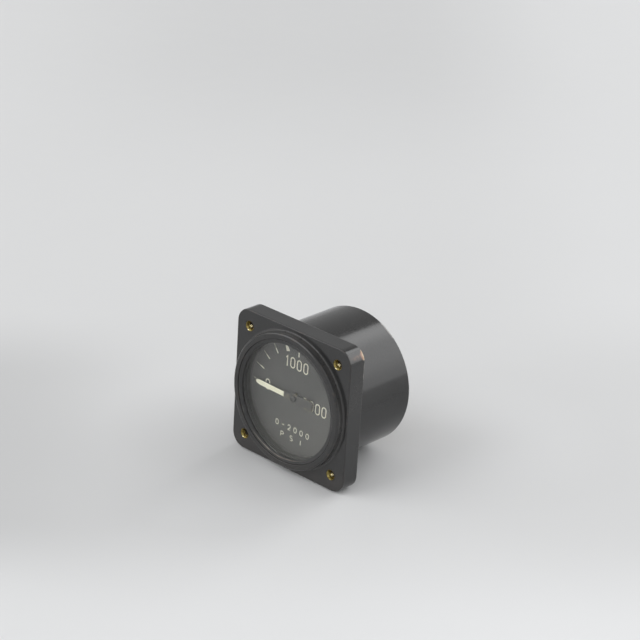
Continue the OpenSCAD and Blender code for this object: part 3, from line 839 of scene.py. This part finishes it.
n192 = even_angles(192)
pane = rings_object(
    "window_pane",
    [circle(r, y, n192) for r, y in [(0.6, -2.15), (12, -2.15), (25.0, -2.15), (25.3, -2.15), (25.5, -1.95), (25.5, -0.37), (25.3, -0.17), (25.0, -0.17), (12, -0.17), (0.6, -0.17)]],
    False,
    True,
    30,
)
dress(pane, "glass", "case", "clear_glass", "cover_glass")

gasket = turned("window_gasket", soften([(24.08, -0.15, 0.25), (25.5, -0.15, 0.1), (25.5, 0.63, 0.1), (24.08, 0.63, 0.25)], 4), 192)
dress(gasket, "rubber", "case", "rubber", "glass_gasket")
spacer = turned("dial_ring", soften([(23.93, 0.65, 0.12), (25.5, 0.65, 0.1), (25.5, 3.18, 0.1), (23.93, 3.18, 0.05)], 3), 256)
dress(spacer, "spacer", "case", "black_paint", "dial_spacer")

plate = rings_object(
    "dial_plate",
    [circle(r, y, n192) for r, y in [(1.9, 3.99), (1.9, 3.26), (1.96, 3.2), (8, 3.2), (16, 3.2), (25.4, 3.2), (25.5, 3.3), (25.5, 3.99), (16, 3.99), (8, 3.99)]],
)
boolean(plate, [box_object("notch", (-0.85, 2.2, -27.0), (0.85, 5.2, -24.4))], "DIFFERENCE")
shade(plate, 30)
dress(plate, "dial", "case", "dial_black", "dial")


# ------------------------------------------------------------------ dial markings: each stroke is a thin raised film of paint
def stroke(points, width, closed=False, y_front=3.18, y_back=3.205):
    """A ribbon of paint along a line of (x, z) points."""
    pts = [Vector(p) for p in points]
    n = len(pts)
    left, rightside = [], []
    for i, p in enumerate(pts):
        if closed:
            a, b = pts[i - 1], pts[(i + 1) % n]
        else:
            a, b = pts[max(0, i - 1)], pts[min(n - 1, i + 1)]
        d1 = (p - a).normalized() if (p - a).length > 1e-9 else (b - p).normalized()
        d2 = (b - p).normalized() if (b - p).length > 1e-9 else d1
        m = (d1 + d2).normalized()
        normal = Vector((-m.y, m.x))
        k = width / 2 / max(0.45, normal.dot(Vector((-d1.y, d1.x))))
        left.append(p + normal * k)
        rightside.append(p - normal * k)
    verts, faces = [], []
    for i in range(n):
        for q in (left[i], rightside[i]):
            verts.append((q.x, y_front, q.y))
            verts.append((q.x, y_back, q.y))
    segs = n if closed else n - 1
    for i in range(segs):
        a, b = 4 * i, 4 * ((i + 1) % n)
        faces += [(a, a + 2, b + 2, b), (a + 1, b + 1, b + 3, a + 3), (a, b, b + 1, a + 1), (a + 2, a + 3, b + 3, b + 2)]
    if not closed:
        faces.append((0, 1, 3, 2))
        e = 4 * (n - 1)
        faces.append((e, e + 2, e + 3, e + 1))
    return verts, faces


def stadium(w, h, n=10):
    """The outline of a narrow nought, about its middle."""
    r = w / 2
    pts = [(r * math.cos(D(180 * i / n)), h / 2 - r + r * math.sin(D(180 * i / n))) for i in range(n + 1)]
    pts += [(r * math.cos(D(180 + 180 * i / n)), -h / 2 + r + r * math.sin(D(180 + 180 * i / n))) for i in range(n + 1)]
    return pts


def arc_pts(cx, cz, r, a0, a1, n=10):
    return [(cx + r * math.cos(D(a0 + (a1 - a0) * i / n)), cz + r * math.sin(D(a0 + (a1 - a0) * i / n))) for i in range(n + 1)]


def glyph(ch, w, h):
    """Strokes of a sign in a box w wide and h high about its middle, as (points, closed)."""
    a, b = w / 2, h / 2
    if ch == "0":
        return [(stadium(w, h), True)]
    if ch == "1":
        return [([(-0.04 * w, b - 0.05 - 0.22 * h), (0.30 * w, b - 0.2), (0.30 * w, -b - 0.22)], False)]
    if ch == "2":
        r = w / 2
        return [(arc_pts(0, b - r, r, 170, 0, 9) + arc_pts(0, b - r, r, -10, -38, 3) + [(-a, -b), (a, -b)], False)]
    if ch == "P":
        r = h * 0.26
        return [([(-a, -b), (-a, b + 0.15)], False), ([(-a - 0.15, b)] + arc_pts(a - r, b - r, r, 90, -90, 8) + [(-a, b - 2 * r)], False)]
    if ch == "S":
        r = h / 4
        k = a / r
        top = [(x * k, z) for x, z in arc_pts(0, r, r, 35, 270, 10)]
        low = [(x * k, z) for x, z in arc_pts(0, -r, r, 90, -145, 10)]
        return [(top + low[1:], False)]
    if ch == "I":
        return [([(0, b), (0, -b)], False)]
    if ch == "-":
        return [([(-a, 0), (a, 0)], False)]
    return []


marks_v, marks_f = [], []


def add_marks(verts, faces, turn=0.0):
    c, s = math.cos(D(turn)), math.sin(D(turn))
    off = len(marks_v)
    marks_v.extend([(x * c - z * s, y, x * s + z * c) for x, y, z in verts])
    marks_f.extend([tuple(off + i for i in f) for f in faces])


DIAL_TURN = -1.7  # the dial sits turned a little clockwise in its case


def text_line(text, cx, cz, w, h, pitch, width):
    x = cx - pitch * (len(text) - 1) / 2
    for ch in text:
        for j, (pts, closed) in enumerate(glyph(ch, w, h)):
            v, f = stroke([(x + px, cz + pz) for px, pz in pts], width, closed, 3.18 - 0.002 * j)
            add_marks(v, f, DIAL_TURN)
        x += pitch


def tick(angle, r0, r1, width):
    c, s = math.cos(D(angle)), math.sin(D(angle))
    v, f = stroke([(r0 * c, r0 * s), ((r0 + r1) / 2 * c, (r0 + r1) / 2 * s), (r1 * c, r1 * s)], width)
    add_marks(v, f, DIAL_TURN)


for i in range(11):
    angle = 180 - 18 * i
    if i == 5:
        tick(angle, 17.6, 20.2, 0.60)
        tick(angle, 20.2, 22.9, 0.16)
    elif i == 4:
        wedge = [(21.9, 2.3), (19.0, 2.4), (19.0, -3.2), (20.3, -2.2), (21.9, 0.0)]
        c0 = [(r * math.cos(D(angle + a)), r * math.sin(D(angle + a))) for r, a in wedge]
        v = [(x, y, z) for x, z in c0 for y in (3.18, 3.205)]
        sides = [(2 * j, 2 * j + 1, (2 * j + 3) % 10, (2 * j + 2) % 10) for j in range(5)]
        add_marks(v, [(0, 2, 4, 6, 8), (1, 9, 7, 5, 3)] + sides, DIAL_TURN)
    else:
        tick(angle, 18.7, 20.9, 0.50)
        tick(angle, 20.9, 23.0, 0.14)
text_line("0", -15.3, -0.10, 2.05, 4.3, 3.2, 0.5)
text_line("1000", -1.15, 14.1, 2.1, 4.3, 3.52, 0.5)
text_line("2000", 10.2, -0.42, 2.1, 4.3, 3.40, 0.5)
text_line("0-2000", -0.5, -14.05, 1.35, 2.15, 3.3, 0.34)
text_line("PSI", -0.55, -18.3, 1.45, 2.15, 5.0, 0.34)
marks = make_object("dial_markings", marks_v, marks_f, 30)
dress(marks, "marks", "case", "luminous")


# ------------------------------------------------------------------ pointer
def outline_slab(name, outline, y0, y1, bevel, hole=None, smooth_deg=35):
    """A flat plate with a bevelled edge, from an outline of (x, z) points; hole is a ring of as many points."""
    def inset(points, d):
        m = len(points)
        out = []
        for i in range(m):
            p, a, b = Vector(points[i]), Vector(points[i - 1]), Vector(points[(i + 1) % m])
            d1, d2 = (p - a).normalized(), (b - p).normalized()
            nrm = Vector((-(d1 + d2).y, (d1 + d2).x)).normalized()
            k = d / max(0.35, nrm.dot(Vector((-d1.y, d1.x))))
            out.append(tuple(p + nrm * k))
        return out

    area = sum(outline[i - 1][0] * outline[i][1] - outline[i][0] * outline[i - 1][1] for i in range(len(outline)))
    pts = outline if area > 0 else outline[::-1]
    small = inset(pts, bevel)
    rings_ = [[(x, y0, z) for x, z in small], [(x, y0 + bevel, z) for x, z in pts], [(x, y1 - bevel, z) for x, z in pts], [(x, y1, z) for x, z in small]]
    return rings_object(name, rings_, False, True, smooth_deg)


def dense(points, step):
    out = []
    for i, p in enumerate(points):
        q = points[(i + 1) % len(points)]
        n = max(1, int(math.dist(p, q) / step))
        out += [(p[0] + (q[0] - p[0]) * k / n, p[1] + (q[1] - p[1]) * k / n) for k in range(n)]
    return out


POINTER_REST = 1.7  # the pointer rests at the dial's nought, a little above the horizontal


def turn(ob, angle):
    """Turns a mesh about the case axis, clockwise as the dial is read."""
    ob.data.transform(Matrix.Rotation(D(angle), 4, "Y"))
    ob.data.update()
    return ob


blade_outline = (
    [(-22.6, 0.12), (-20.4, 0.62), (-18.6, 1.2), (-5.1, 1.25), (-2.35, 1.45)]
    + arc_pts(0, 0, 2.5, 144, 56, 8)
    + [(2.3, 1.92), (8.8, 2.4), (9.5, 2.1), (10, 1.7), (10, -1.7), (9.5, -2.1), (8.8, -2.4), (2.3, -1.92)]
    + arc_pts(0, 0, 2.5, -56, -144, 8)
    + [(-2.35, -1.45), (-5.1, -1.25), (-18.6, -1.2), (-20.4, -0.62), (-22.6, -0.12)]
)
blade = outline_slab("pointer_blade", blade_outline, 1.9, 2.2, 0.05)
boolean(blade, [rod("hole", 0, 0, 1.5, 1.0, 3.0, 48)], "DIFFERENCE")
turn(blade, POINTER_REST)
shade(blade, 35)
wear_and_painted_light_mask(blade, lambda x, y, z: 0.5)
dress(blade, "hub", "pointer", "hub_black", "pointer")

bar_outline = dense([(-20.35, 0.42), (-20.35, -0.42), (-19.6, -0.80), (-18.5, -1.08), (-5.2, -1.06), (-5.2, 1.06), (-18.5, 1.08), (-19.6, 0.80)], 0.7)
bar = outline_slab("pointer_bar", bar_outline, 1.70, 1.92, 0.09)
turn(bar, POINTER_REST)
dress(bar, "bar", "pointer", "luminous")

hub = turned(
    "pointer_boss",
    soften([(0.6, 0.9, 0.04), (1.2, 0.9, 0.15), (1.5, 1.15, 0.05), (1.5, 2.21), (2.3, 2.21, 0.04), (2.3, 2.55, 0.06), (1.5, 2.9, 0.05), (0.6, 2.9, 0.04)], 3),
    96,
)
wear_and_painted_light_mask(hub, lambda x, y, z: 0.8 if y < 1.25 else 0.2)
dress(hub, "hub", "pointer", "hub_black", "pointer_hub")


# ------------------------------------------------------------------ rear fitting: block, hexagon and threaded end
def hex_ring(af, y, angles, limit):
    out = []
    for a in angles:
        s = ((math.degrees(a) + 30) % 60) - 30
        r = min(af / 2 / math.cos(D(s)), limit)
        out.append((r * math.cos(a), y, r * math.sin(a)))
    return out


n144 = even_angles(144)
AF = 12.7
tip_r = AF / 2 / math.cos(D(30))
fit = [circle(1.6, 37.0, n144), circle(7.5, 37.0, n144), circle(7.5, 38.8, n144)]
fit += [circle(r, y, n144) for r, y in [(7.5, 39.9), (7.4, 40.15), (7.2, 40.25), (6.9, 40.3)]]
fit += [hex_ring(AF, y, n144, lim) for y, lim in [(40.32, 6.35), (40.35, 6.55), (40.55, 6.9), (40.8, tip_r)]]
fit += [hex_ring(AF, y, n144, tip_r) for y in (42.0, 43.3, 44.6)]
fit += [hex_ring(AF, y, n144, lim) for y, lim in [(45.8, tip_r), (46.05, 6.9), (46.25, 6.55), (46.3, 6.35)]]
fit += [circle(r, y, n144) for r, y in [(5.6, 46.3), (5.0, 46.35), (4.85, 46.5), (4.8, 46.8), (4.8, 47.3)]]
fit += threaded(4.86, 0.69, 0.7938 * 1.6, 47.6, 53.3, n144, 0, 0, 8, 0.6)
fit += [circle(r, y, n144) for r, y in [(4.86, 53.45), (4.6, 53.8), (4.5, 53.85), (2.55, 55.8), (2.4, 55.95), (2.25, 56.0), (1.75, 56.0), (1.6, 55.85)]]
fitting = rings_object("fitting_rear", fit, True, False, 30)
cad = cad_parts["socket"]
block = bpy.data.objects.new("socket_body", cad.data.copy())
bpy.context.scene.collection.objects.link(block)
bm = bmesh.new()
bm.from_mesh(block.data)
bmesh.ops.remove_doubles(bm, verts=bm.verts, dist=1e-6)
bm.to_mesh(block.data)
bm.free()
boolean(block, [box_object("keep", (-40, 10, -40), (40, 37.4, 40))], "INTERSECT")
boolean(block, [fitting], "UNION")
shade(block, 30)
weighted(block)
dress(block, "fitting", "case", "fitting_brass", "socket")


def rear_screw(x, z):
    """Slotted cheese-head screw with a slightly domed head, seen from the rear."""
    n = even_angles(48)
    prof = [(0.25, 31.6), (1.15, 31.6), (1.4, 31.9), (1.4, 39.05), (2.45, 39.1), (2.66, 39.2), (2.7, 39.35), (2.7, 40.25)]
    prof += [(2.62, 40.5), (2.4, 40.66), (1.9, 40.74), (1.0, 40.79), (0.25, 40.8)]
    o = rings_object("screw", [circle(r, y, n, x, z) for r, y in prof], False, True)
    a = math.radians(17 + 40 * x)
    w, l = 0.36, 4
    c, s = math.cos(a), math.sin(a)
    pts = [(x + u * c - v * s, z + u * s + v * c) for u, v in [(-l, -w), (l, -w), (l, w), (-l, w)]]
    cut = make_object("slot", [(px, y, pz) for y in (39.95, 42) for px, pz in pts], [(0, 1, 2, 3), (4, 5, 6, 7), (0, 1, 5, 4), (1, 2, 6, 5), (2, 3, 7, 6), (3, 0, 4, 7)])
    return boolean(o, [cut], "DIFFERENCE")


screws = join_meshes("rear_screws", [rear_screw(x, z) for x, z in REAR_SCREWS], 30)
dress(screws, "steel", "case", "steel", "socket_screws")


# ------------------------------------------------------------------ pressure tube
def tube_loop(h, w, r, n=6):
    pts = []
    for cx, cy, a in [(1, 1, 0), (-1, 1, 90), (-1, -1, 180), (1, -1, 270)]:
        pts += [
            (cx * (h / 2 - r) + r * math.cos(D(a + 90 * i / n)), cy * (w / 2 - r) + r * math.sin(D(a + 90 * i / n)))
            for i in range(n + 1)
        ]
    return pts


outer, inner = tube_loop(3.2, 8.0, 1.3), tube_loop(2.3, 7.1, 0.85)
arc = [-28 + 289 * i / 130 for i in range(131)]


def tube_ring(loop, a):
    return [((18.4 + u) * math.cos(D(a)), 20 + v, (18.4 + u) * math.sin(D(a))) for u, v in loop]


tube = rings_object("pressure_tube", [tube_ring(outer, a) for a in arc] + [tube_ring(inner, a) for a in arc[::-1]], True, False, 30)
tube.data.materials.append(M["tube"])
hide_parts("bourdon_tube")
root, end = D(261), D(-28)
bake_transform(tube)


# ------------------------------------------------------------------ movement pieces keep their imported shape, with eased edges
def carried(node, key, bevel=0.05):
    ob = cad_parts[node]
    ob.data.materials.clear()
    ob.data.materials.append(M[key])
    w = ob.modifiers.new("weld", "WELD")
    w.merge_threshold = 1e-6
    if bevel:
        b = ob.modifiers.new("bevel", "BEVEL")
        b.width, b.segments, b.limit_method, b.angle_limit = bevel * MM, 2, "ANGLE", D(40)
        b.harden_normals = False
    return ob


for node, key, slot, bevel in [
    ("pinion_shaft", "shaft", "steel", 0.0),
    ("hairspring_collet", "movement", "movement_brass", 0.05),
    ("hairspring", "spring", "blued_spring", 0.0),
    ("hairspring_stud", "movement", "movement_brass", 0.05),
    ("movement_front_plate", "movement", "movement_brass", 0.08),
    ("movement_back_plate", "movement", "movement_brass", 0.08),
    ("plate_pillars", "movement", "movement_brass", 0.05),
    ("plate_screws", "steel", "steel", 0.06),
    ("sector_gear", "movement", "movement_brass", 0.0),
    ("sector_arbor", "steel", "steel", 0.04),
    ("sector_pin", "steel", "steel", 0.03),
    ("link", "movement", "movement_brass", 0.06),
    ("tip_pin", "steel", "steel", 0.04),
    ("tube_tip", "movement", "movement_brass", 0.1),
    ("socket_gasket", "rubber", "rubber", 0.05),
    ("restrictor", "movement", "movement_brass", 0.04),
    ("movement_screws", "steel", "steel", 0.06),
]:
    carried(node, key, bevel)


# ------------------------------------------------------------------ floor and light
# The gauge leans back on the lower rear edge of its flange and on the rim of its rear end, so the floor is tilted
# against the part's own frame by that much.
TILT = math.atan2(2.2, 30.5)
floor_up = Vector((0, -math.sin(TILT), math.cos(TILT)))
floor_at = Vector((0, 8.0, -30.25)) * MM
floor_rot = Matrix.Rotation(TILT, 4, "X")


def on_floor(x, y, z):
    """A point given in metres from the floor's own origin, level with it."""
    return floor_at + (floor_rot @ Vector((x, y, z)))


def floor_material():
    k = Nodes("studio_floor")
    cloud = k.noise(2.0, 3.0, 0.5)
    base = k.mix(k.span(cloud, 0.3, 0.7, 0, 1), rgb(0.634, 0.635, 0.637), rgb(0.656, 0.657, 0.659))
    # painted shade in a broad patch on the left, in a patch beside the gauge and far behind, and painted light in
    # front, on the right and in two patches near the gauge
    across = k.math("ADD", k.math("MULTIPLY", k.axis(0), 0.729), k.math("MULTIPLY", k.axis(1), 0.685))
    away = k.math("ADD", k.math("MULTIPLY", k.axis(0), -0.666), k.math("MULTIPLY", k.axis(1), 0.746))
    dull_and_painted_shade = k.math("MULTIPLY", k.span(across, -0.125, -0.035, 1, 0, True), k.span(away, -0.095, -0.04, 0, 1, True))
    dull_and_painted_shade = k.math("MULTIPLY", dull_and_painted_shade, k.span(away, 0.07, 0.14, 0.17, 0, True))
    far_painted_shade = k.math("MULTIPLY", k.span(away, 0.24, 0.50, 0, 0.09, True), k.span(k.math("ABSOLUTE", k.math("SUBTRACT", across, 0.01), 0.0), 0.04, 0.22, 1, 0, True))

    def patch(u, v, inner, outer, amount):
        du, dv = k.math("SUBTRACT", across, u), k.math("SUBTRACT", away, v)
        r = k.math("SQRT", k.math("ADD", k.math("MULTIPLY", du, du), k.math("MULTIPLY", dv, dv)))
        return k.span(r, inner, outer, amount, 0, True)

    dull_and_painted_shade = k.math("ADD", dull_and_painted_shade, patch(-0.030, 0.034, 0.008, 0.050, 0.10))
    base = k.mix(k.math("ADD", dull_and_painted_shade, far_painted_shade), base, rgb(0.0, 0.0, 0.0))
    # painted light: lighter in front, on the right and in two patches near the gauge
    floor_painted_light = k.math("MULTIPLY", k.span(away, -0.115, -0.035, 1, 0, True), k.span(across, -0.05, 0.12, 0.24, 0.40, True))
    floor_painted_light = k.math("MAXIMUM", floor_painted_light, k.math("MULTIPLY", k.span(across, 0.06, 0.17, 0, 0.16, True), k.span(away, 0.08, 0.16, 0, 1, True)))
    floor_painted_light = k.math("MAXIMUM", floor_painted_light, patch(-0.030, -0.020, 0.004, 0.036, 0.15))
    floor_painted_light = k.math("MAXIMUM", floor_painted_light, patch(0.082, 0.030, 0.015, 0.060, 0.15))
    base = k.mix(floor_painted_light, base, rgb(0.90, 0.905, 0.915))
    return k.finish(k.principled(Base_Color=base, Roughness=k.span(k.noise(60.0, 3.0), 0.3, 0.7, 0.50, 0.6), Normal=k.bump(k.noise(900.0, 3.0), 0.00002, 0.3)))


def floor_mesh():
    n, half = 24, 3.2
    verts, faces = [], []
    for j in range(n + 1):
        for i in range(n + 1):
            verts.append(tuple(on_floor(-half + 2 * half * i / n, -half + 2 * half * j / n, 0)))
    for j in range(n):
        for i in range(n):
            a = j * (n + 1) + i
            faces.append((a, a + 1, a + n + 2, a + n + 1))
    me = bpy.data.meshes.new("studio_floor")
    me.from_pydata(verts, [], faces)
    me.polygons.foreach_set("use_smooth", [True] * len(me.polygons))
    ob = bpy.data.objects.new("studio_floor", me)
    bpy.context.scene.collection.objects.link(ob)
    me.materials.append(floor_material())
    return ob


floor = floor_mesh()


# The studio: a pale room, one wide panel behind on the right that is brightest at its top, and one in front on the left.
world = bpy.data.worlds.new("studio")
bpy.context.scene.world = world
world.use_nodes = True
wt = world.node_tree
wt.nodes.clear()


def wmath(operation, a, b=0.0, c=None, clamp=False):
    n = wt.nodes.new("ShaderNodeMath")
    n.operation, n.use_clamp = operation, clamp
    for i, v in enumerate((a, b, c)):
        if v is None:
            continue
        if isinstance(v, bpy.types.NodeSocket):
            wt.links.new(v, n.inputs[i])
        else:
            n.inputs[i].default_value = v
    return n.outputs[0]


def wspan(value, a, b, c, d):
    n = wt.nodes.new("ShaderNodeMapRange")
    n.interpolation_type = "SMOOTHSTEP"
    wt.links.new(value, n.inputs[0])
    for i, v in enumerate((a, b, c, d)):
        n.inputs[i + 1].default_value = v
    return n.outputs[0]


wtc = wt.nodes.new("ShaderNodeTexCoord")
wsep = wt.nodes.new("ShaderNodeSeparateXYZ")
wt.links.new(wtc.outputs["Generated"], wsep.inputs[0])
dx, dy, dz = wsep.outputs
azim = wmath("ARCTAN2", dx, dy)  # 0 to the rear, positive to the right


def panel(left, right_, low, high, soft_az, soft_z, base, top):
    """A panel seen between two azimuths (degrees) and two heights (sine of the elevation), brighter towards its top."""
    inside = wmath("MULTIPLY", wspan(azim, D(left), D(left + soft_az), 0, 1), wspan(azim, D(right_ - 3 * soft_az), D(right_), 1, 0))
    inside = wmath("MULTIPLY", inside, wspan(dz, low - soft_z, low + soft_z, 0, 1))
    inside = wmath("MULTIPLY", inside, wspan(dz, high - soft_z, high + soft_z, 1, 0))
    shade_ = wmath("MULTIPLY_ADD", dz, (top - base) / high, base)
    return wmath("MULTIPLY", inside, shade_)


inside = wmath("MULTIPLY", wspan(azim, D(-12.4), D(-9.6), 0, 1), wspan(azim, D(50), D(78), 1, 0))
inside = wmath("MULTIPLY", inside, wspan(azim, D(-9.6), D(4), 0.86, 1))
inside = wmath("MULTIPLY", inside, wspan(dz, -0.12, 0.0, 0, 1))
inside = wmath("MULTIPLY", inside, wspan(dz, 0.76, 0.84, 1, 0))
glow = wmath("MULTIPLY", wspan(dz, 0.1, 0.55, 1.3, 2.25), wspan(azim, D(2), D(26), 1.44, 1.0))
back_panel = wmath("MULTIPLY", inside, glow)
front_panel = panel(-179.0, -95.0, 0.12, 0.80, 12.0, 0.08, 2.1, 2.5)
front_right = panel(120.0, 179.0, 0.12, 0.80, 8.0, 0.08, 0.7, 0.9)
room = wspan(dz, 0.3, 0.9, 0.55, 0.45)
total = wmath("ADD", wmath("ADD", room, back_panel), wmath("ADD", front_panel, front_right))
light = wt.nodes.new("ShaderNodeBackground")
light.inputs[0].default_value = (0.990, 0.996, 1.0, 1)
wt.links.new(total, light.inputs[1])
plain = wt.nodes.new("ShaderNodeBackground")  # what shows past the floor in a level view
plain.inputs[0].default_value = (0.985, 0.99, 1.0, 1)
wt.links.new(wmath("MULTIPLY", wspan(dy, 0.3, 0.95, 0.80, 1.0), wspan(dz, 0.0, 0.22, 1.0, 0.84)), plain.inputs[1])
path = wt.nodes.new("ShaderNodeLightPath")
wmix = wt.nodes.new("ShaderNodeMixShader")
wt.links.new(path.outputs["Is Camera Ray"], wmix.inputs[0])
wt.links.new(light.outputs[0], wmix.inputs[1])
wt.links.new(plain.outputs[0], wmix.inputs[2])
wout = wt.nodes.new("ShaderNodeOutputWorld")
wt.links.new(wmix.outputs[0], wout.inputs[0])

view = bpy.context.scene.view_settings
view.view_transform = "Standard"
view.look = "None"
view.exposure = 0.0
view.gamma = 1.0
